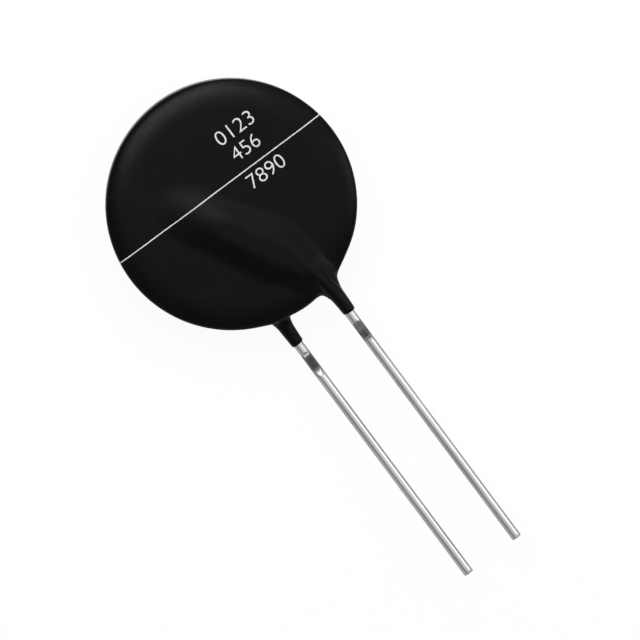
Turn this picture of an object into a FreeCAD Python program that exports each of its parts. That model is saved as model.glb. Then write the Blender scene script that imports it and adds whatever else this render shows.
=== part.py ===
import FreeCAD, Part
import math
import os

Vector = FreeCAD.Vector

# Disc thermistor for inrush currents, lying on its back face.
# Driving dimensions are millimetres and degrees.

# Ceramic disc and the silver layer fired on each face
ceramic_diameter = 23.5
ceramic_thickness = 3.5
electrode_margin = 0.5
electrode_thickness = 0.05

# Leads, round tinned wire: each crosses its face at a slant and turns to run out straight
wire_diameter = 1.0
lead_pitch = 6.0
lead_length = 31.65
slant = 30.0
inner_end_short = 0.15
turn_radius = 18.0
turn_past_rim = 2.05

# Step in each lead that brings both into the disc's middle plane
step_gap = 0.85
step_slope = 55.0
step_radius = 1.2

# Solder that holds each wire on its silver layer
solder_film = 0.05
solder_over_wire = 0.1
solder_end = 0.6
solder_end_radius = 0.65

# Coating, dipped epoxy: over the faces and round the rim, whose edges are rounded as ellipses
face_coat = 0.6
rim_coat = 0.8
rim_reach = 2.4
rim_drop = 1.3

# Ridge of coating over each wire: a bell on the face, with its foot sunk a little into it
ridge_coat = 0.35
ridge_spread = 1.9
ridge_spread_at_rim = 1.2
ridge_foot = 0.12
ridge_depth = 1.3
ridge_lead_in = 2.8
ridge_rise = 3.0

# Leg of coating down each wire, and the web where the ridge turns into it
leg_length = 3.1
leg_tip_coat = 0.11
web_start = 3.6
web_length = 4.8

# Shape controls that are counts or shares, not sizes
rim_bands = 4
section_poles = 16
ridge_rows = 20
ridge_width_share = 2.1

# Places that follow from the sizes above
wire_radius = wire_diameter / 2
ceramic_radius = ceramic_diameter / 2
coated_radius = ceramic_radius + rim_coat
electrode_radius = ceramic_radius - electrode_margin
electrode_top = ceramic_thickness / 2 + electrode_thickness
wire_height = electrode_top + solder_film + wire_radius
solder_radius = solder_film + wire_diameter + solder_over_wire
face_height = electrode_top + face_coat
crown_height = wire_height + wire_radius + ridge_coat
lead_x = lead_pitch / 2
lead_tip_y = -(coated_radius + lead_length)
leg_tip_y = -(coated_radius + leg_length)
slant_angle = math.radians(slant)
turn_end_y = -(coated_radius + turn_past_rim)
turn_tangent = turn_radius * math.tan(slant_angle / 2)
slant_corner = Vector(lead_x, turn_end_y + turn_tangent, 0)
slant_direction = Vector(math.sin(slant_angle), -math.cos(slant_angle), 0)
slant_run = (inner_end_short - slant_corner.y) / math.cos(slant_angle) - turn_tangent
turn_run = turn_radius * slant_angle


def arc_edge(start, middle, end):
    return Part.Arc(start, middle, end).toShape()


def wire_station(run):
    """Point and direction of the front wire, seen from above, at a run from its inner end."""
    if run <= slant_run:
        point = slant_corner + slant_direction * (run - slant_run - turn_tangent)
        return point, slant_direction
    if run <= slant_run + turn_run:
        left = slant_angle - (run - slant_run) / turn_radius
        outward = Vector(math.cos(left), math.sin(left), 0)
        centre = Vector(lead_x - turn_radius, turn_end_y, 0)
        return centre + outward * turn_radius, Vector(math.sin(left), -math.cos(left), 0)
    straight = run - slant_run - turn_run
    return Vector(lead_x, turn_end_y - straight, 0), Vector(0, -1, 0)


def run_at(y):
    """Run from the wire's inner end to the place where it passes this y in or after its turn."""
    if y < turn_end_y:
        return slant_run + turn_run + turn_end_y - y
    left = math.asin((y - turn_end_y) / turn_radius)
    return slant_run + turn_run - turn_radius * left


def blend(low, high, value):
    """0 below low, 1 above high and a smooth step between them."""
    share = min(max((value - low) / (high - low), 0), 1)
    return share * share * (3 - 2 * share)


def lead_path():
    """Middle line of the front lead: slant, turn, step down to the middle plane, straight run."""
    slope = math.radians(step_slope)
    drop = step_radius * (1 - math.cos(slope))
    reach = step_radius * math.sin(slope)
    ramp = (wire_height - 2 * drop) / math.sin(slope)
    half_drop = step_radius * (1 - math.cos(slope / 2))
    half_reach = step_radius * math.sin(slope / 2)
    up = Vector(0, 0, wire_height)
    inner = wire_station(0)[0] + up
    turn_start = wire_station(slant_run)[0] + up
    turn_middle = wire_station(slant_run + turn_run / 2)[0] + up
    turn_end = wire_station(slant_run + turn_run)[0] + up
    step_start = Vector(lead_x, leg_tip_y - step_gap, wire_height)
    first_middle = step_start + Vector(0, -half_reach, -half_drop)
    ramp_start = step_start + Vector(0, -reach, -drop)
    ramp_end = ramp_start + Vector(0, -ramp * math.cos(slope), -ramp * math.sin(slope))
    step_end = ramp_end + Vector(0, -reach, -drop)
    second_middle = step_end + Vector(0, half_reach, half_drop)
    tip = Vector(lead_x, lead_tip_y, 0)
    return Part.Wire([
        Part.makeLine(inner, turn_start),
        arc_edge(turn_start, turn_middle, turn_end),
        Part.makeLine(turn_end, step_start),
        arc_edge(step_start, first_middle, ramp_start),
        Part.makeLine(ramp_start, ramp_end),
        arc_edge(ramp_end, second_middle, step_end),
        Part.makeLine(step_end, tip),
    ])


def make_lead():
    start = wire_station(0)[0] + Vector(0, 0, wire_height)
    section = Part.Wire([Part.Circle(start, slant_direction, wire_radius).toShape()])
    return lead_path().makePipe(Part.Face(section))


def make_ceramic():
    return Part.makeCylinder(ceramic_radius, ceramic_thickness, Vector(0, 0, -ceramic_thickness / 2))


def make_electrode():
    base = Vector(0, 0, electrode_top - electrode_thickness)
    return Part.makeCylinder(electrode_radius, electrode_thickness, base)


def make_solder(lead):
    """Half round bead on the silver layer that buries the front wire, tapered at both ends."""
    first = wire_station(0)[0] + Vector(0, 0, electrode_top)

    def at(run, radius):
        return first + slant_direction * run + Vector(0, 0, radius)

    profile = Part.makePolygon([
        at(-solder_end, 0),
        at(-solder_end, solder_end_radius),
        at(0, solder_radius),
        at(slant_run - solder_end, solder_radius),
        at(slant_run, solder_end_radius),
        at(slant_run, 0),
        at(-solder_end, 0),
    ])
    half = Part.Face(profile).revolve(first, slant_direction, 90)
    other_half = Part.Face(profile).revolve(first, slant_direction, -90)
    return half.fuse(other_half).removeSplitter().cut(lead)


def face_level(point):
    """Height of the coated face above the middle plane at a point of the disc, its edge included."""
    into_edge = (math.hypot(point.x, point.y) - coated_radius + rim_reach) / rim_reach
    share = min(max(into_edge, 0), 1)
    return face_height - rim_drop * (1 - math.sqrt(1 - share * share))


def ring_of_poles(radius):
    """Radius of the ring of poles whose closed cubic curve has this radius."""
    return radius * 3 / (2 + math.cos(2 * math.pi / section_poles))


def ridge_section(run):
    """Poles of a closed curve across the wire: a bell on the face that turns into a ring."""
    point, direction = wire_station(run)
    across = Vector(-direction.y, direction.x, 0)
    rim_run = run_at(-coated_radius)
    roundness = blend(rim_run - web_start, rim_run - web_start + web_length, run)
    rise = blend(-ridge_lead_in, ridge_rise - ridge_lead_in, run)
    spread = ridge_spread + (ridge_spread_at_rim - ridge_spread) * blend(slant_run / 2, rim_run, run)
    half_width = spread * ridge_width_share
    crest = (crown_height - face_level(point) + 2 * ridge_foot) * rise - ridge_foot
    slimming = blend(rim_run, run_at(leg_tip_y), run)
    ring = ring_of_poles(wire_radius + ridge_coat + (leg_tip_coat - ridge_coat) * slimming)
    poles = []
    for index in range(section_poles):
        angle = 2 * math.pi * index / section_poles
        if angle <= math.pi:
            side = half_width * (1 - 2 * angle / math.pi)
            buried = face_level(point + across * side) - ridge_foot
            bell = buried + crest * math.exp(-(side / spread) ** 2 / 2)
        else:
            side = half_width * math.cos(angle)
            buried = face_level(point + across * side) - ridge_foot
            bell = buried + ridge_depth * math.sin(angle)
        offset = (1 - roundness) * side + roundness * ring * math.cos(angle)
        level = (1 - roundness) * bell + roundness * (wire_height + ring * math.sin(angle))
        poles.append(point + across * offset + Vector(0, 0, level))
    return poles


def make_ridge():
    """Coating that covers the front wire, from before its inner end to the tip of the leg."""
    pitch = (run_at(leg_tip_y) + ridge_lead_in) / (ridge_rows - 1)
    rows = [ridge_section(index * pitch - ridge_lead_in) for index in range(ridge_rows)]
    columns = [[row[index] for row in rows] for index in range(section_poles)]
    spans = ridge_rows - 3
    around = list(range(section_poles + 1))
    along = list(range(spans + 1))
    skin = Part.BSplineSurface()
    skin.buildFromPolesMultsKnots(columns, [1] * (section_poles + 1), [4] + [1] * (spans - 1) + [4],
                                  around, along, True, False, 3, 3)
    ends = [Part.Face(Part.Wire([skin.vIso(place).toShape()])) for place in (0, spans)]
    shell = Part.Shell([skin.toShape()] + ends)
    shell.sewShape()
    ridge = Part.Solid(shell)
    if ridge.Volume < 0:
        ridge.reverse()
    return ridge


def coated_disc():
    """Coated disc without its ridges and legs; each rounded edge is a row of narrow cone bands."""
    edge = []
    for index in range(rim_bands + 1):
        angle = math.pi / 2 * index / rim_bands
        out = coated_radius - rim_reach * (1 - math.sin(angle))
        edge.append(Vector(out, 0, face_height - rim_drop * (1 - math.cos(angle))))
    lower_edge = [Vector(point.x, 0, -point.z) for point in reversed(edge)]
    top = Vector(0, 0, face_height)
    profile = Part.makePolygon([top] + edge + lower_edge + [-top, top])
    return Part.Face(profile).revolve(Vector(0, 0, 0), Vector(0, 0, 1), 360)


def make_coating(core):
    """Dipped skin: disc, two ridges and two legs in one, hollow where the inner pieces lie."""
    ridge = make_ridge()
    outside = coated_disc().fuse([ridge, on_back(ridge)]).removeSplitter()
    return outside.cut(core)


def on_back(shape):
    """The same piece for the other face: half a turn about the line between the leads."""
    turned = shape.copy()
    turned.rotate(Vector(0, 0, 0), Vector(0, 1, 0), 180)
    return turned


def build():
    ceramic = make_ceramic()
    front_electrode = make_electrode()
    front_lead = make_lead()
    front_solder = make_solder(front_lead)
    nodes = {
        "ceramic_disc": ceramic,
        "front_electrode": front_electrode,
        "back_electrode": on_back(front_electrode),
        "front_solder": front_solder,
        "back_solder": on_back(front_solder),
        "front_lead": front_lead,
        "back_lead": on_back(front_lead),
    }
    inner = list(nodes.values())
    nodes["coating"] = make_coating(inner[0].fuse(inner[1:]).removeSplitter())
    return nodes


def stand_on_origin(nodes):
    """Moves the lying part so that the origin is the middle of its underside."""
    box = Part.makeCompound(list(nodes.values())).optimalBoundingBox(False, False)
    shift = Vector(-box.Center.x, -box.Center.y, -box.ZMin)
    for shape in nodes.values():
        shape.translate(shift)


nodes = build()
stand_on_origin(nodes)
os.makedirs("parts", exist_ok=True)
for name, shape in nodes.items():
    shape.exportStep("parts/" + name + ".step")
    print(name, len(shape.Solids), "solid", round(shape.Volume, 3), "mm3")
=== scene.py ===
import itertools
import math

import bmesh
import bpy
import numpy as np
from mathutils import Matrix, Vector


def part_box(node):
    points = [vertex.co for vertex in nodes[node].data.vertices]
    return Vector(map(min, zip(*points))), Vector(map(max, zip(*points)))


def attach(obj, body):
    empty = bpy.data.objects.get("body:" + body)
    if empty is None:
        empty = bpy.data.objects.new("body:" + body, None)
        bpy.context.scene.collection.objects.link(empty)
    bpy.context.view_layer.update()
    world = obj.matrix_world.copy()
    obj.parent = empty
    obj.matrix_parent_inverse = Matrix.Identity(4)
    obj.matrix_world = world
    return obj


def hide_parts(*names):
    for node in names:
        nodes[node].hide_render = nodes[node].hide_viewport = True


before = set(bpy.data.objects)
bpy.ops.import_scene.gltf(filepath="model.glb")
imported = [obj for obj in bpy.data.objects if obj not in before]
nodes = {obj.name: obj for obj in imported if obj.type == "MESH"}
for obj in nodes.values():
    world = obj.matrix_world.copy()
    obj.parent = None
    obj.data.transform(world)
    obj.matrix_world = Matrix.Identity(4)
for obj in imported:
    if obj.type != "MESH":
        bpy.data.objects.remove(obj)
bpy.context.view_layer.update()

MM = 0.001

# Where the disc lies in the frame, in millimetres
ceramic_low, ceramic_high = (np.array(corner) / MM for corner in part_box("ceramic_disc"))
centre = (ceramic_low + ceramic_high) / 2
lead_low, _ = (np.array(corner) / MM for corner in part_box("front_lead"))
coat_low, coat_high = (np.array(corner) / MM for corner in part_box("coating"))

# Sizes of the disc, in millimetres from its middle; its edges are rounded as ellipses
coated_radius = coat_high[0]
crown_height = coat_high[2] - centre[2]
face_height = 2.40
face_crown = 0.11
rim_reach = 3.0
rim_drop = 0.9

# Each wire crosses its face at a slant, turns to run out straight and steps to the middle plane
wire_radius = 0.5
wire_height = 2.35
lead_x = 3.0
lead_tip_y = lead_low[1] - centre[1]
slant = math.radians(30)
inner_end_y = 0.15
turn_radius = 18.0
turn_end_y = -14.6
turn_tangent = turn_radius * math.tan(slant / 2)
slant_dir = np.array([math.sin(slant), -math.cos(slant)])
turn_start = np.array([lead_x, turn_end_y + turn_tangent]) - slant_dir * turn_tangent
turn_centre = np.array([lead_x - turn_radius, turn_end_y])
slant_run = (inner_end_y - turn_start[1]) / math.cos(slant)
turn_run = turn_radius * slant
rim_run = slant_run + turn_run - turn_radius * math.asin((-coated_radius - turn_end_y) / turn_radius)

# The step, which is pressed flat on two sides
leg_tip_y = coat_low[1] - centre[1]
step_gap = 0.85
step_slope = math.radians(55)
step_radius = 1.2
step_drop = step_radius * (1 - math.cos(step_slope))
step_reach = step_radius * math.sin(step_slope)
step_ramp = (wire_height - 2 * step_drop) / math.sin(step_slope)
step_start_y = leg_tip_y - step_gap
step_end_y = step_start_y - 2 * step_reach - step_ramp * math.cos(step_slope)
flat_depth = 0.15
flat_edge = 0.05
press_in = 0.5
press_out = 1.0

# Uneven tin on the wires, and the rings that close a cut end: how far on, and how wide
tin_thin = 0.003
tin_waver = 0.002
tin_oval = 0.001
waver_rates = (0.7, 1.3, 2.1)
oval_rate = 0.4
tip_left = 0.06
tip_rings = ((0.025, 0.985), (0.045, 0.95), (0.052, 0.88))

# Ridge over each wire, by the run from the wire's inner end: it widens along the slant, narrows in the turn,
# and is wider again round its head
ridge_below_crown = 0.025
ridge_width = 1.4
ridge_widening = 0.8
ridge_narrowing = 0.9
narrow_before_rim = 1.0
head_widening = 1.0
head_widening_from = -4.0
head_widening_to = 6.0
head_run = 2.7
head_stretch = 2.2
ridge_beside_wire = 0.2
ridge_top_share = 0.3
ridge_foot_share = 1.7
into_leg_before_rim = 3.4
into_leg_past_rim = 0.8

# Leg of coating down each wire, hidden in the disc at its start, and the lip at its tip
leg_radius = 0.67
leg_taper = 0.05
leg_taper_run = 2.4
leg_before_rim = 4.5
leg_full_before_rim = 2.5
leg_hidden = 0.15
tip_inset = 0.05
tip_shear = 0.04
tip_run = slant_run + turn_run + turn_end_y - leg_tip_y - tip_inset
lip = 0.32

# Web of coating between the rim and each leg, and how far each leg lies off its wire
front_web, front_shift = 1.15, 0.07
back_web, back_shift = 1.0, 0.0
least_web = 0.25
web_start_before_rim = 4.0
web_full_before_rim = 1.0
web_under_wire_top = 0.1
web_gone_above_wire = 0.7

# Slow waves in the dipped skin: direction, phase and share of each
wave_source = np.random.default_rng(7)
waves = []
for length in (8.5, 6.1, 4.3, 3.1, 2.2):
    for _ in range(3):
        turn = wave_source.normal(size=3)
        turn = turn / np.linalg.norm(turn) * 2 * math.pi / length
        waves.append((turn, wave_source.uniform(0, 2 * math.pi), length / 40))
wave_total = sum(share for _, _, share in waves)
skin_wave = 0.03

# Places on the rim where the dip ran thick or thin: x, y, reach and extra thickness
runs_of_dip = [
    (6.2, -11.0, 1.5, -0.09),
    (0.2, -12.6, 1.3, 0.11),
    (-3.7, -12.5, 0.7, 0.13),
    (3.9, -12.4, 0.8, 0.12),
    (-5.0, 11.4, 5.0, -0.07),
]
dip_fade_low = 1.9
dip_fade_high = 2.7

# Ink, from just under the skin to just above it
ink_proud = 0.014
ink_sunk = 0.02
halvings = 26

# Printed line, and rows of digits: text, left, right and baseline from the disc's middle
line_y = 2.0
line_width = 0.12
line_flat_end = 10.0
line_pivot_z = 1.2
line_ragged = 0.006
digit_height = 1.45
digit_rows = [("0123", 2.6, 6.9, 5.305), ("456", 2.95, 6.05, 3.135), ("7890", 2.65, 6.85, -0.005)]


def smooth_step(low, high, value):
    share = np.clip((value - low) / (high - low), 0, 1)
    return share * share * (3 - 2 * share)


def smooth_min(a, b, k):
    h = np.maximum(k - np.abs(a - b), 0) / k
    return np.minimum(a, b) - h * h * k * 0.25


def along_wire(x, y):
    """Run along the front wire and signed distance beside it, seen from above."""
    rx, ry = x - turn_centre[0], y - turn_centre[1]
    angle = np.arctan2(ry, rx)
    reach = np.hypot(rx, ry)
    sx, sy = x - turn_start[0], y - turn_start[1]
    slanted = sx * slant_dir[0] + sy * slant_dir[1]
    beside = -sx * slant_dir[1] + sy * slant_dir[0]
    run = np.where(angle > slant, slant_run + slanted, slant_run + (slant - angle) * turn_radius)
    side = np.where(angle > slant, beside, reach - turn_radius)
    straight = angle < 0
    run = np.where(straight, slant_run + turn_run + turn_end_y - y, run)
    side = np.where(straight, x - lead_x, side)
    return run, side


def dip_thickness(x, y, z):
    """Extra thickness of the dip, on the rim only."""
    total = sum(extra * np.exp(-((x - px) ** 2 + (y - py) ** 2) / (2 * reach ** 2))
                for px, py, reach, extra in runs_of_dip)
    return total * (1 - smooth_step(dip_fade_low, dip_fade_high, np.abs(z)))


def unevenness(x, y, z):
    """Between 0 and 1."""
    total = 0
    for turn, phase, share in waves:
        total = total + share * np.sin(turn[0] * x + turn[1] * y + turn[2] * z + phase)
    return 0.5 + 0.5 * total / wave_total


def edge_distance(q, level):
    """Distance to the disc's outline in a plane through its axis, its edge rounded as an ellipse."""
    out = np.maximum(q - (coated_radius - rim_reach), 0) / rim_reach
    up = np.maximum(level - (face_height - rim_drop), 0) / rim_drop
    reach = np.maximum(np.hypot(out, up), 1e-9)
    steep = np.maximum(np.hypot(out / rim_reach, up / rim_drop), 1e-9)
    rounded = (reach - 1) * reach / steep
    flat = np.maximum(q - coated_radius, level - face_height)
    return np.where((out > 0) & (up > 0), rounded, flat)


def ridge_height(run, side):
    """Height of the ridge over the face, before it turns into the leg."""
    narrowing = smooth_step(slant_run, rim_run - narrow_before_rim, run)
    half_width = ridge_width + ridge_widening * smooth_step(0, slant_run, run) - ridge_narrowing * narrowing
    head = 1 - smooth_step(head_widening_from, head_widening_to, run)
    half_width = half_width + head_widening * head
    behind = np.minimum(run - head_run, 0) / head_stretch
    across = np.hypot(side + ridge_beside_wire, behind) / half_width
    crest = crown_height - ridge_below_crown - face_height
    to_leg = smooth_step(rim_run - into_leg_before_rim, rim_run + into_leg_past_rim, run)
    return crest * (1 - to_leg) * (1 - smooth_step(ridge_top_share, ridge_foot_share, across))


def leg_distance(run, side, shift, z):
    """Distance to the leg round the wire, with a rounded lip at its tip."""
    left = np.clip(tip_run - run, 0, leg_taper_run)
    hidden = 1 - smooth_step(rim_run - leg_before_rim, rim_run - leg_full_before_rim, run)
    tube = np.hypot(side - shift, z - wire_height) - leg_radius - leg_taper * left + leg_hidden * hidden
    end = run - tip_run - tip_shear * side
    h = np.maximum(lip - np.abs(tube - end), 0) / lip
    leg = np.maximum(tube, end) + h * h * lip * 0.25
    return np.maximum(leg, rim_run - leg_before_rim - run)


def one_side(x, y, z, web, shift):
    """Distance to the disc with its ridge, distance to the leg, and width of the web, on the front side."""
    run, side = along_wire(x, y)
    q = np.hypot(x, y)
    disc = edge_distance(q, z + face_crown * (q / coated_radius) ** 2 - ridge_height(run, side))
    low = 1 - smooth_step(wire_height - web_under_wire_top, wire_height + web_gone_above_wire, z)
    near = smooth_step(rim_run - web_start_before_rim, rim_run - web_full_before_rim, run)
    return disc, leg_distance(run, side, shift, z), least_web + web * low * near


def skin(p):
    """Distance-like value of the coating at points in millimetres from the disc's middle."""
    x, y, z = p[:, 0], p[:, 1], p[:, 2]
    front_disc, front_leg, front_blend = one_side(x, y, z, front_web, front_shift)
    back_disc, back_leg, back_blend = one_side(-x, y, -z, back_web, back_shift)
    body = np.maximum(front_disc, back_disc)
    body = smooth_min(body, front_leg, front_blend)
    body = smooth_min(body, back_leg, back_blend)
    return body + skin_wave * unevenness(x, y, z) - dip_thickness(x, y, z)


def slope(p, step=0.004):
    g = np.empty_like(p)
    for axis in range(3):
        d = np.zeros(3)
        d[axis] = step
        g[:, axis] = (skin(p + d) - skin(p - d)) / (2 * step)
    return g


def settle(p, rounds=3):
    """Moves points onto the skin."""
    for _ in range(rounds):
        g = slope(p)
        p = p - g * (skin(p) / np.maximum((g * g).sum(1), 1e-6))[:, None]
    return p


def sample_skin(lows, counts, step):
    """Value of the skin at each point of a grid."""
    axes = [lows[i] + step * np.arange(counts[i]) for i in range(3)]
    value = np.empty(counts, np.float64)
    xs, ys = np.meshgrid(axes[0], axes[1], indexing="ij")
    for k, z in enumerate(axes[2]):
        layer = np.stack([xs.ravel(), ys.ravel(), np.full(xs.size, z)], 1)
        value[:, :, k] = skin(layer).reshape(xs.shape)
    return value


def points_in_cells(value, cells, lows, step):
    """One point in each cell: the mean of the places where the cell's edges cross the skin."""
    total = np.zeros((len(cells), 3))
    hits = np.zeros(len(cells))
    for axis in range(3):
        others = [a for a in range(3) if a != axis]
        for m, n in itertools.product((0, 1), repeat=2):
            a = cells.copy()
            a[:, others[0]] += m
            a[:, others[1]] += n
            b = a.copy()
            b[:, axis] += 1
            va, vb = value[tuple(a.T)], value[tuple(b.T)]
            crosses = (va < 0) != (vb < 0)
            t = np.where(crosses, va / np.where(crosses, va - vb, 1), 0)
            spot = a.astype(float)
            spot[:, axis] += t
            total[crosses] += spot[crosses]
            hits[crosses] += 1
    return lows + step * total / hits[:, None]


def quads_between_cells(inside, index):
    """A quad of four cells' points round each edge of the grid that crosses the skin."""
    counts = inside.shape
    quads = []
    for axis in range(3):
        o1, o2 = [(axis + 1) % 3, (axis + 2) % 3]
        first = [slice(None)] * 3
        second = [slice(None)] * 3
        first[axis], second[axis] = slice(0, -1), slice(1, None)
        edges = np.argwhere(inside[tuple(first)] != inside[tuple(second)])
        keep = (edges[:, o1] > 0) & (edges[:, o2] > 0)
        keep &= (edges[:, o1] < counts[o1] - 1) & (edges[:, o2] < counts[o2] - 1)
        edges = edges[keep]
        corners = []
        for m, n in ((1, 1), (0, 1), (0, 0), (1, 0)):
            c = edges.copy()
            c[:, o1] -= m
            c[:, o2] -= n
            corners.append(index[tuple(c.T)])
        face = np.stack(corners, 1)
        starts_inside = inside[tuple(edges.T)]
        face[~starts_inside] = face[~starts_inside][:, ::-1]
        quads.append(face)
    return np.concatenate(quads)


def skin_mesh(step):
    """Quads over the whole skin, one point for each cell of a grid that it passes through."""
    aside, before, above = 0.35, 0.4, 0.3
    lows = np.array([-coated_radius - aside, leg_tip_y - before, -crown_height - above])
    highs = np.array([coated_radius + aside, coated_radius + aside, crown_height + above])
    counts = np.ceil((highs - lows) / step).astype(int) + 1
    value = sample_skin(lows, counts, step)
    inside = value < 0
    corners_inside = np.zeros(counts - 1, np.int8)
    for corner in itertools.product((0, 1), repeat=3):
        corners_inside += inside[tuple(slice(i, i + n) for i, n in zip(corner, counts - 1))]
    active = (corners_inside > 0) & (corners_inside < 8)
    index = np.full(active.shape, -1, np.int64)
    index[active] = np.arange(active.sum())
    return points_in_cells(value, np.argwhere(active), lows, step), quads_between_cells(inside, index)


def relax(points, quads, rounds=2):
    """Evens out the quads along the skin."""
    pairs = np.concatenate([quads[:, [0, 1]], quads[:, [1, 2]], quads[:, [2, 3]], quads[:, [3, 0]]])
    for _ in range(rounds):
        total = np.zeros_like(points)
        count = np.zeros(len(points))
        for a, b in ((0, 1), (1, 0)):
            np.add.at(total, pairs[:, a], points[pairs[:, b]])
            np.add.at(count, pairs[:, a], 1)
        points = points + 0.5 * (total / count[:, None] - points)
        points = settle(points, 1)
    return settle(points, 2)


def make_piece(name, points, faces, smooth=True):
    """Mesh object from points in millimetres from the disc's middle."""
    mesh = bpy.data.meshes.new(name)
    placed = (np.asarray(points, float) + centre) * MM
    rows = faces if isinstance(faces, list) else faces.tolist()
    mesh.from_pydata(placed.tolist(), [], rows)
    mesh.validate()
    mesh.polygons.foreach_set("use_smooth", [smooth] * len(mesh.polygons))
    mesh.update()
    piece = bpy.data.objects.new(name, mesh)
    bpy.context.scene.collection.objects.link(piece)
    return piece


def grid_faces(rows, columns, closed):
    """Quads between neighbouring rows of points; closed joins the last column to the first."""
    faces = []
    for i in range(rows - 1):
        for j in range(columns if closed else columns - 1):
            k = (j + 1) % columns
            faces.append([i * columns + j, i * columns + k, (i + 1) * columns + k, (i + 1) * columns + j])
    return faces


def wire_at(run):
    """Point of the front wire's middle line at a run from its inner end, on its face."""
    if run <= slant_run:
        at = turn_start + slant_dir * (run - slant_run)
    else:
        left = slant - (run - slant_run) / turn_radius
        at = turn_centre + turn_radius * np.array([math.cos(left), math.sin(left)])
    return [at[0], at[1], wire_height]


def lead_line():
    """Middle line of the front lead, closely spaced where it bends."""
    spots = [wire_at(run) for run in np.linspace(0, slant_run, 14)]
    spots += [wire_at(run) for run in np.linspace(slant_run, slant_run + turn_run, 24)[1:]]
    spots += [[lead_x, y, wire_height] for y in np.linspace(turn_end_y, step_start_y, 14)[1:]]
    for bend in np.linspace(0, step_slope, 14)[1:]:
        level = wire_height - step_radius * (1 - math.cos(bend))
        spots.append([lead_x, step_start_y - step_radius * math.sin(bend), level])
    for share in np.linspace(0, 1, 8)[1:]:
        run = share * step_ramp
        level = wire_height - step_drop - run * math.sin(step_slope)
        spots.append([lead_x, step_start_y - step_reach - run * math.cos(step_slope), level])
    for bend in np.linspace(step_slope, 0, 14)[1:]:
        level = step_radius * (1 - math.cos(bend))
        spots.append([lead_x, step_end_y + step_radius * math.sin(bend), level])
    spots += [[lead_x, y, 0] for y in np.linspace(step_end_y, lead_tip_y + tip_left, 60)[1:]]
    return np.array(spots)


def lead_mesh(flip, around=48):
    """Round wire along its middle line, with uneven tin, a step pressed flat and a rounded end."""
    line = lead_line()
    ahead = np.gradient(line, axis=0)
    ahead /= np.linalg.norm(ahead, axis=1)[:, None]
    across = np.stack([ahead[:, 1] * -1, ahead[:, 0], np.zeros(len(line))], 1)
    across /= np.linalg.norm(across, axis=1)[:, None]
    upward = np.cross(across, ahead) * -1
    upward *= np.sign(upward[:, 2:3])
    rng = np.random.default_rng(11 + flip)
    phases = rng.uniform(0, 2 * math.pi, 6)
    angles = np.linspace(0, 2 * math.pi, around, endpoint=False)
    travelled = np.concatenate([[0], np.cumsum(np.linalg.norm(np.diff(line, axis=0), axis=1))])
    rings = []
    for i, spot in enumerate(line):
        s = travelled[i]
        waver = sum(math.sin(s * rate + phases[n]) for n, rate in enumerate(waver_rates)) / 3
        radius = wire_radius - tin_thin + tin_waver * waver
        radius = radius + tin_oval * np.sin(2 * angles + oval_rate * s + phases[3])
        pressed = smooth_step(step_start_y, step_start_y - press_in, spot[1])
        pressed = pressed * smooth_step(step_end_y, step_end_y + press_out, spot[1])
        height = radius * np.sin(angles)
        half_height = wire_radius - flat_depth * pressed
        height = np.sign(height) * smooth_min(np.abs(height), half_height, flat_edge)
        beside = radius * np.cos(angles)
        rings.append(spot + beside[:, None] * across[i] + height[:, None] * upward[i])
    for further, share in tip_rings:
        rings.append(line[-1] + ahead[-1] * further + (rings[len(line) - 1] - line[-1]) * share)
    points = np.concatenate(rings)
    faces = grid_faces(len(rings), around, True)
    last = (len(rings) - 1) * around
    faces.append([last + j for j in range(around)])
    faces.append(list(range(around - 1, -1, -1)))
    if flip:
        points = points * np.array([-1, 1, -1])
    return points, faces


def reach_to_skin(starts, ahead, nearest, farthest):
    """Distance from each start along its direction to the skin, by halving."""
    low = np.full(len(starts), nearest)
    high = np.full(len(starts), farthest)
    for _ in range(halvings):
        middle = (low + high) / 2
        value = skin(starts + ahead * middle[:, None])
        low = np.where(value < 0, middle, low)
        high = np.where(value < 0, high, middle)
    return low


def line_mesh(y, width):
    """Printed line from rim to rim, on the face and over both rounded edges."""
    stations = []
    for angle in np.radians(np.linspace(5, 84, 28)):
        stations.append((line_flat_end, math.cos(angle), math.sin(angle)))
    for x in np.linspace(line_flat_end - 0.12, 0, 90):
        stations.append((x, 0.0, 1.0))
    stations = [(-x, -dx, dz) for x, dx, dz in stations] + stations[-2::-1]
    px, dx, dz = (np.array(column) for column in zip(*stations))
    count = len(px)
    ahead = np.stack([dx, np.zeros(count), dz], 1)
    jitter = np.random.default_rng(5).uniform(-1, 1, (2, count)) * line_ragged
    rows = []
    for offset, rise in ((-0.5, -ink_sunk), (-0.46, ink_proud), (0.46, ink_proud), (0.5, -ink_sunk)):
        ys = y + offset * width + jitter[0 if offset < 0 else 1]
        starts = np.stack([px, ys, np.full(count, line_pivot_z)], 1)
        reach = reach_to_skin(starts, ahead, 0.0, 3.0) + rise
        rows.append(starts + ahead * reach[:, None])
    faces = grid_faces(len(rows), count, False)
    faces.append([r * count for r in (0, 1, 2, 3)])
    faces.append([r * count + count - 1 for r in (3, 2, 1, 0)])
    return np.concatenate(rows), faces


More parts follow.
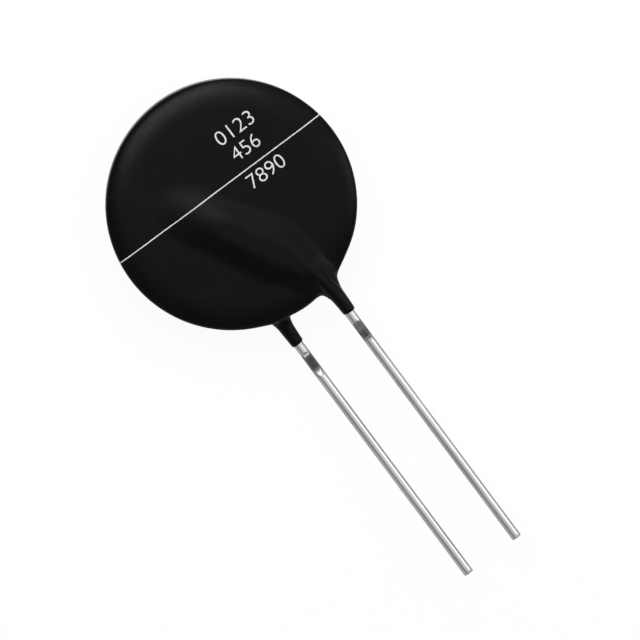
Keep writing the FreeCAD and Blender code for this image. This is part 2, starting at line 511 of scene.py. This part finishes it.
def digits_mesh(text, left, right, baseline, height):
    """Row of digits laid on the face; left, right and heights are in millimetres."""
    curve = bpy.data.curves.new("digits", "FONT")
    curve.body = text
    curve.resolution_u = 6
    curve.extrude = 0.01
    curve.offset = -0.012
    holder = bpy.data.objects.new("digits", curve)
    bpy.context.scene.collection.objects.link(holder)
    bpy.context.view_layer.update()
    flat = bpy.data.meshes.new_from_object(holder)
    bpy.data.objects.remove(holder)
    co = np.array([v.co for v in flat.vertices])
    low, high = co.min(0), co.max(0)
    x = left + (co[:, 0] - low[0]) / (high[0] - low[0]) * (right - left)
    y = baseline + (co[:, 1] - low[1]) / (high[1] - low[1]) * height
    starts = np.stack([x, y, np.zeros(len(x))], 1)
    face = reach_to_skin(starts, np.array([0.0, 0.0, 1.0]), 1.0, crown_height + 0.4)
    z = face + np.where(co[:, 2] > 0, ink_proud, -ink_sunk)
    faces = [list(p.vertices) for p in flat.polygons]
    bpy.data.meshes.remove(flat)
    return np.stack([x, y, z], 1), faces


# Node helpers
def new_material(name):
    material = bpy.data.materials.new(name)
    material.use_nodes = True
    tree = material.node_tree
    tree.nodes.clear()
    output = tree.nodes.new("ShaderNodeOutputMaterial")
    shader = tree.nodes.new("ShaderNodeBsdfPrincipled")
    tree.links.new(shader.outputs[0], output.inputs[0])
    return material, tree, shader


def noise(tree, cycles, detail=3.0, rough=0.5):
    """Noise in object coordinates; cycles to the metre are one number for each axis."""
    coordinates = tree.nodes.new("ShaderNodeTexCoord")
    mapping = tree.nodes.new("ShaderNodeMapping")
    mapping.inputs["Scale"].default_value = cycles
    tree.links.new(coordinates.outputs["Object"], mapping.inputs["Vector"])
    node = tree.nodes.new("ShaderNodeTexNoise")
    node.inputs["Scale"].default_value = 1.0
    node.inputs["Detail"].default_value = detail
    node.inputs["Roughness"].default_value = rough
    tree.links.new(mapping.outputs["Vector"], node.inputs["Vector"])
    return node.outputs["Fac"]


def ramp(tree, source, stops):
    """Colour or grey that follows the source; stops hold a position and three numbers each."""
    node = tree.nodes.new("ShaderNodeValToRGB")
    node.color_ramp.elements[0].position = stops[0][0]
    node.color_ramp.elements[1].position = stops[-1][0]
    for position, _ in stops[1:-1]:
        node.color_ramp.elements.new(position)
    for element, (_, colour) in zip(node.color_ramp.elements, stops):
        element.color = (*colour, 1)
    tree.links.new(source, node.inputs["Fac"])
    return node.outputs["Color"]


def spread(tree, source, low, high):
    """Brings noise to the range from low to high."""
    node = tree.nodes.new("ShaderNodeMapRange")
    node.inputs["From Min"].default_value = 0.3
    node.inputs["From Max"].default_value = 0.7
    node.inputs["To Min"].default_value = low
    node.inputs["To Max"].default_value = high
    tree.links.new(source, node.inputs["Value"])
    return node.outputs["Result"]


def bump(tree, source, distance, strength, under=None):
    node = tree.nodes.new("ShaderNodeBump")
    node.inputs["Distance"].default_value = distance
    node.inputs["Strength"].default_value = strength
    tree.links.new(source, node.inputs["Height"])
    if under is not None:
        tree.links.new(under, node.inputs["Normal"])
    return node.outputs["Normal"]


def mixed(tree, share, first, second):
    node = tree.nodes.new("ShaderNodeMixRGB")
    tree.links.new(share, node.inputs[0])
    tree.links.new(first, node.inputs[1])
    tree.links.new(second, node.inputs[2])
    return node.outputs[0]


def on_step(tree):
    """1 on the pressed step of each wire and 0 elsewhere."""
    coordinates = tree.nodes.new("ShaderNodeTexCoord")
    split = tree.nodes.new("ShaderNodeSeparateXYZ")
    along = tree.nodes.new("ShaderNodeMapRange")
    along.inputs["From Min"].default_value = (centre[1] + step_start_y) * MM
    along.inputs["From Max"].default_value = (centre[1] + step_end_y) * MM
    tree.links.new(coordinates.outputs["Object"], split.inputs[0])
    tree.links.new(split.outputs["Y"], along.inputs["Value"])
    black, white = (0, 0, 0), (1, 1, 1)
    return ramp(tree, along.outputs["Result"], [(0.02, black), (0.12, white), (0.6, white), (1.0, black)])


def grainy_material(name, cycles, detail, rough, tones, roughness, relief, metallic=0.0, specular=0.5):
    """Material whose colour, roughness and relief (depth and strength) follow one grain."""
    material, tree, shader = new_material(name)
    grain = noise(tree, (cycles,) * 3, detail, rough)
    tree.links.new(ramp(tree, grain, tones), shader.inputs["Base Color"])
    tree.links.new(spread(tree, grain, *roughness), shader.inputs["Roughness"])
    tree.links.new(bump(tree, grain, *relief), shader.inputs["Normal"])
    shader.inputs["Metallic"].default_value = metallic
    shader.inputs["Specular IOR Level"].default_value = specular
    return material


def coating_material():
    material, tree, shader = new_material("dipped_epoxy")
    broad = noise(tree, (260, 260, 260), 3, 0.55)
    grain = noise(tree, (9000, 9000, 9000), 2, 0.5)
    orange = noise(tree, (1500, 1500, 1500), 2, 0.5)
    tones = [(0.3, (0.0009, 0.0009, 0.0010)), (0.7, (0.0017, 0.0017, 0.0018))]
    tree.links.new(ramp(tree, broad, tones), shader.inputs["Base Color"])
    tree.links.new(spread(tree, orange, 0.27, 0.34), shader.inputs["Roughness"])
    soft = bump(tree, orange, 0.00003, 0.25)
    tree.links.new(bump(tree, grain, 0.000006, 0.35, soft), shader.inputs["Normal"])
    shader.inputs["Specular IOR Level"].default_value = 0.083
    return material


def wire_material():
    material, tree, shader = new_material("tinned_wire")
    streak = noise(tree, (6000, 90, 6000), 2, 0.5)
    tin = noise(tree, (700, 240, 700), 2, 0.5)
    bright = ramp(tree, tin, [(0.3, (0.46, 0.46, 0.47)), (0.7, (0.53, 0.53, 0.535))])
    # The tin on the pressed step is darker: painted shade standing in for the dark surroundings that the step
    # mirrors. The same mask also makes the step rougher.
    painted_shade_tin = ramp(tree, tin, [(0.3, (0.20, 0.20, 0.20)), (0.7, (0.28, 0.28, 0.28))])
    step_painted_shade_and_rough = on_step(tree)
    tree.links.new(mixed(tree, step_painted_shade_and_rough, bright, painted_shade_tin), shader.inputs["Base Color"])
    sheen = spread(tree, tin, 0.17, 0.25)
    rubbed = spread(tree, tin, 0.38, 0.46)
    tree.links.new(mixed(tree, step_painted_shade_and_rough, sheen, rubbed), shader.inputs["Roughness"])
    soft = bump(tree, tin, 0.00003, 0.20)
    tree.links.new(bump(tree, streak, 0.000003, 0.15, soft), shader.inputs["Normal"])
    shader.inputs["Metallic"].default_value = 1.0
    shader.inputs["Specular Tint"].default_value = (0.05, 0.05, 0.05, 1)
    return material


def seen(tree, direct, mirrored):
    """One share for camera rays, another for glossy and transmission rays, and 0 for all others."""
    path = tree.nodes.new("ShaderNodeLightPath")
    shares = {"Is Camera Ray": direct, "Is Glossy Ray": mirrored, "Is Transmission Ray": mirrored}
    total = None
    for ray, share in shares.items():
        scale = tree.nodes.new("ShaderNodeMath")
        scale.operation = "MULTIPLY"
        scale.inputs[1].default_value = share
        tree.links.new(path.outputs[ray], scale.inputs[0])
        if total is None:
            total = scale.outputs[0]
            continue
        larger = tree.nodes.new("ShaderNodeMath")
        larger.operation = "MAXIMUM"
        tree.links.new(total, larger.inputs[0])
        tree.links.new(scale.outputs[0], larger.inputs[1])
        total = larger.outputs[0]
    return total


def floor_material():
    """Grey paint that takes the shadow, mixed with white where it is seen and, less, where it is mirrored."""
    material = bpy.data.materials.new("pale_floor")
    material.use_nodes = True
    tree = material.node_tree
    tree.nodes.clear()
    output = tree.nodes.new("ShaderNodeOutputMaterial")
    mix = tree.nodes.new("ShaderNodeMixShader")
    paint = tree.nodes.new("ShaderNodeBsdfDiffuse")
    paint.inputs["Color"].default_value = (0.8, 0.8, 0.8, 1)
    white = tree.nodes.new("ShaderNodeEmission")
    white.inputs["Strength"].default_value = 1.0
    tree.links.new(seen(tree, 0.94, 0.35), mix.inputs[0])
    tree.links.new(paint.outputs[0], mix.inputs[1])
    tree.links.new(white.outputs[0], mix.inputs[2])
    tree.links.new(mix.outputs[0], output.inputs[0])
    return material


def make_world(bright_side, levels, wall_grey, wall_height):
    """Soft room: grey levels by the angle from its bright side, and one grey near the horizon."""
    world = bpy.data.worlds.new("studio")
    bpy.context.scene.world = world
    world.use_nodes = True
    tree = world.node_tree
    tree.nodes.clear()
    output = tree.nodes.new("ShaderNodeOutputWorld")
    room = tree.nodes.new("ShaderNodeBackground")
    wall = tree.nodes.new("ShaderNodeBackground")
    wall.inputs["Color"].default_value = (wall_grey, wall_grey, wall_grey, 1)
    mix = tree.nodes.new("ShaderNodeMixShader")
    coordinates = tree.nodes.new("ShaderNodeTexCoord")
    split = tree.nodes.new("ShaderNodeSeparateXYZ")
    towards = tree.nodes.new("ShaderNodeVectorMath")
    towards.operation = "DOT_PRODUCT"
    towards.inputs[1].default_value = Vector(bright_side).normalized()
    tree.links.new(coordinates.outputs["Generated"], split.inputs[0])
    tree.links.new(coordinates.outputs["Generated"], towards.inputs[0])
    stops = [(math.cos(math.radians(angle)), (level,) * 3) for angle, level in levels]
    tree.links.new(ramp(tree, towards.outputs["Value"], stops), room.inputs["Color"])
    horizon = ramp(tree, split.outputs["Z"], [(0.0, (1, 1, 1)), (wall_height, (0, 0, 0))])
    tree.links.new(horizon, mix.inputs[0])
    tree.links.new(room.outputs[0], mix.inputs[1])
    tree.links.new(wall.outputs[0], mix.inputs[2])
    tree.links.new(mix.outputs[0], output.inputs[0])


def softbox(name, place_mm, aim_mm, size_mm, radiance):
    """Area lamp with the given brightness of its face."""
    data = bpy.data.lights.new(name, "AREA")
    data.shape = "RECTANGLE"
    data.size, data.size_y = size_mm[0] * MM, size_mm[1] * MM
    data.energy = radiance * math.pi * data.size * data.size_y
    lamp = bpy.data.objects.new(name, data)
    bpy.context.scene.collection.objects.link(lamp)
    lamp.visible_camera = False
    spot, aim = Vector(place_mm) * MM, Vector(aim_mm) * MM
    back = (spot - aim).normalized()
    along = Vector((0, 1, 0))
    along = (along - back * along.dot(back)).normalized()
    side = along.cross(back)
    turn = Matrix((side, along, back)).transposed()
    lamp.matrix_world = Matrix.Translation(spot) @ turn.to_4x4()


# Pieces
points, quads = skin_mesh(0.14)
points = relax(settle(points, 2), quads)
coating = make_piece("coating_skin", points, quads)
front = make_piece("front_wire", *lead_mesh(False))
back = make_piece("back_wire", *lead_mesh(True))
prints = [make_piece("printed_line", *line_mesh(line_y, line_width), smooth=False)]
for number, row in enumerate(digit_rows, 1):
    prints.append(make_piece(f"printed_row_{number}", *digits_mesh(*row, digit_height), smooth=False))

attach(coating, "root")
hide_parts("coating")
for piece, node in ((front, "front_lead"), (back, "back_lead")):
    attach(piece, "root")
    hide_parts(node)
for piece in prints:
    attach(piece, "root")

# Materials
ceramic_tones = [(0.3, (0.030, 0.027, 0.024)), (0.7, (0.075, 0.068, 0.060))]
silver_tones = [(0.3, (0.66, 0.65, 0.62)), (0.7, (0.80, 0.79, 0.76))]
solder_tones = [(0.3, (0.48, 0.48, 0.49)), (0.7, (0.66, 0.66, 0.66))]
ink_tones = [(0.25, (0.44, 0.44, 0.44)), (0.7, (0.62, 0.62, 0.62))]
ceramic = grainy_material("sintered_ceramic", 6000, 5, 0.7, ceramic_tones, (0.6, 0.85), (0.00002, 0.5))
silver = grainy_material("fired_silver", 5000, 4, 0.65, silver_tones, (0.42, 0.6), (0.00001, 0.5), 1.0)
solder = grainy_material("solder", 1400, 4, 0.6, solder_tones, (0.28, 0.45), (0.00003, 0.4), 1.0)
ink = grainy_material("pale_ink", 2600, 3, 0.6, ink_tones, (0.5, 0.7), (0.00001, 0.3), specular=0.3)
wire = wire_material()
dressed = {
    "ceramic_disc": ceramic,
    "front_electrode": silver,
    "back_electrode": silver,
    "front_solder": solder,
    "back_solder": solder,
}
for name, material in dressed.items():
    nodes[name].data.materials.clear()
    nodes[name].data.materials.append(material)
coating.data.materials.append(coating_material())
front.data.materials.append(wire)
back.data.materials.append(wire)
for piece in prints:
    piece.data.materials.append(ink)

# Floor, a square with this half width in metres
floor_half = 3.0
bm = bmesh.new()
corners = ((-1, -1), (1, -1), (1, 1), (-1, 1))
bm.faces.new([bm.verts.new((x * floor_half, y * floor_half, 0)) for x, y in corners])
floor_mesh = bpy.data.meshes.new("floor")
bm.to_mesh(floor_mesh)
bm.free()
floor = bpy.data.objects.new("floor", floor_mesh)
bpy.context.scene.collection.objects.link(floor)
floor.data.materials.append(floor_material())

# Light: levels by the angle in degrees; softboxes by name, place, aim, size (all in mm) and brightness
room_levels = [(97, 0.50), (70, 0.31), (48, 0.56), (30, 1.02), (20, 1.35), (0, 1.5)]
make_world((0.35, 0.25, 0.9), room_levels, 0.9, 0.12)
softbox("side_box", (109, -38, 74), (0, -38, 3), (90, 58), 2.1)
softbox("back_box", (12, 112, 148), (0, 15, 3), (135, 80), 5.2)
softbox("rim_box", (150, 260, 190), (0, 15, 3), (150, 70), 5.0)

# Camera, nearly straight above; the leads run down and to the right in its picture, which is 64 mm wide
tilt = math.radians(6)
distance = 500
picture_width = 64
leads_right, leads_down = 0.5979, 0.8016
aim = Vector((0.2, centre[1] - 14.665, centre[2]))
back_dir = Vector((0, math.sin(tilt), math.cos(tilt)))
down_leads = Vector((0, -math.cos(tilt), math.sin(tilt)))
across_leads = Vector((1, 0, 0))
right = leads_right * down_leads + leads_down * across_leads
upward = -leads_down * down_leads + leads_right * across_leads
camera_data = bpy.data.cameras.new("camera")
camera_data.sensor_width = 36
camera_data.lens = camera_data.sensor_width * distance / picture_width
camera_data.clip_start = 0.01
camera = bpy.data.objects.new("camera", camera_data)
bpy.context.scene.collection.objects.link(camera)
turn = Matrix((right.normalized(), upward.normalized(), back_dir)).transposed()
camera.matrix_world = Matrix.Translation((aim + back_dir * distance) * MM) @ turn.to_4x4()
bpy.context.scene.camera = camera
bpy.context.scene.view_settings.view_transform = "Standard"
